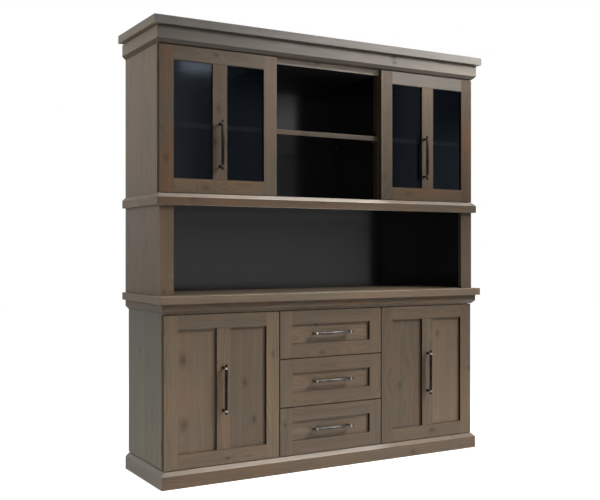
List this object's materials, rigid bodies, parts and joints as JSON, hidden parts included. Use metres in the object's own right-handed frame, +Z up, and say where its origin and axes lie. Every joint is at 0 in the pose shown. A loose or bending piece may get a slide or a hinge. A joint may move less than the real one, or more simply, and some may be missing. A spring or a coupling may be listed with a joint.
{
  "type": "dresser with hutch",
  "caption": "Wooden dresser with hutch: drawers between panelled doors under a counter, an open niche, a middle cubby with a shelf and glazed doors under a crown.",
  "frame": {"origin": "on the floor, under the middle of the overall width and depth", "axes": "+Z up, +X to the right across the front, +Y from the front to the back, so the front faces -Y"},
  "size_m": [1.829, 0.492, 2.057],
  "materials": {
    "stained_wood": "greyish brown stain on knotty wood, low sheen",
    "black_board": "black satin lacquer",
    "drawer_wood": "clear satin",
    "dark_bronze": "dark bronze with bright rubbed collars",
    "hinge_steel": "satin",
    "tinted_glass": "polished"
  },
  "bodies": {
    "cabinet": {"plinth": "stained_wood", "base_bottom": "stained_wood", "base_top": "stained_wood", "base_back": "black_board", "base_side_left": "stained_wood", "base_side_right": "stained_wood", "base_divider_left": "stained_wood", "base_divider_right": "stained_wood", "base_shelf_left": "stained_wood", "base_shelf_right": "stained_wood", "apron_moulding": "stained_wood", "counter_top": "stained_wood", "hutch_side_left": "stained_wood", "hutch_side_right": "stained_wood", "hutch_divider_left": "stained_wood", "hutch_divider_right": "stained_wood", "hutch_back": "black_board", "hutch_top": "stained_wood", "hutch_shelf_centre": "stained_wood", "hutch_shelf_left": "black_board", "hutch_shelf_right": "black_board", "mid_board": "stained_wood", "frieze_moulding": "stained_wood", "crown_board": "stained_wood", "base_hinge_left_lower": "hinge_steel", "base_hinge_left_upper": "hinge_steel", "base_hinge_right_lower": "hinge_steel", "base_hinge_right_upper": "hinge_steel", "glass_hinge_left_lower": "hinge_steel", "glass_hinge_left_upper": "hinge_steel", "glass_hinge_right_lower": "hinge_steel", "glass_hinge_right_upper": "hinge_steel"},
    "base_door_left": {"base_door_left_frame": "stained_wood", "base_door_left_panel_1": "stained_wood", "base_door_left_panel_2": "stained_wood", "base_door_left_pull": "dark_bronze"},
    "base_door_right": {"base_door_right_frame": "stained_wood", "base_door_right_panel_1": "stained_wood", "base_door_right_panel_2": "stained_wood", "base_door_right_pull": "dark_bronze"},
    "glass_door_left": {"glass_door_left_frame": "stained_wood", "glass_door_left_pane_1": "tinted_glass", "glass_door_left_pane_2": "tinted_glass", "glass_door_left_pull": "dark_bronze"},
    "glass_door_right": {"glass_door_right_frame": "stained_wood", "glass_door_right_pane_1": "tinted_glass", "glass_door_right_pane_2": "tinted_glass", "glass_door_right_pull": "dark_bronze"},
    "drawer_1": {"drawer_1_frame": "stained_wood", "drawer_1_panel": "stained_wood", "drawer_1_box": "drawer_wood", "drawer_1_pull": "dark_bronze"},
    "drawer_2": {"drawer_2_frame": "stained_wood", "drawer_2_panel": "stained_wood", "drawer_2_box": "drawer_wood", "drawer_2_pull": "dark_bronze"},
    "drawer_3": {"drawer_3_frame": "stained_wood", "drawer_3_panel": "stained_wood", "drawer_3_box": "drawer_wood", "drawer_3_pull": "dark_bronze"}
  },
  "joints": [
    {"name": "base_door_left_hinge", "type": "hinge", "parent": "cabinet", "child": "base_door_left", "pos_m": [-0.8625, -0.183, 0.417], "axis": [0, 0, -1], "range_deg": [0, 110]},
    {"name": "base_door_right_hinge", "type": "hinge", "parent": "cabinet", "child": "base_door_right", "pos_m": [0.8625, -0.183, 0.417], "axis": [0, 0, 1], "range_deg": [0, 110]},
    {"name": "glass_door_left_hinge", "type": "hinge", "parent": "cabinet", "child": "glass_door_left", "pos_m": [-0.8785, -0.171, 1.6175], "axis": [0, 0, -1], "range_deg": [0, 110]},
    {"name": "glass_door_right_hinge", "type": "hinge", "parent": "cabinet", "child": "glass_door_right", "pos_m": [0.8785, -0.171, 1.6175], "axis": [0, 0, 1], "range_deg": [0, 110]},
    {"name": "drawer_1_slide", "type": "slide", "parent": "cabinet", "child": "drawer_1", "axis": [0, -1, 0], "range_m": [0, 0.33]},
    {"name": "drawer_2_slide", "type": "slide", "parent": "cabinet", "child": "drawer_2", "axis": [0, -1, 0], "range_m": [0, 0.33]},
    {"name": "drawer_3_slide", "type": "slide", "parent": "cabinet", "child": "drawer_3", "axis": [0, -1, 0], "range_m": [0, 0.33]}
  ]
}
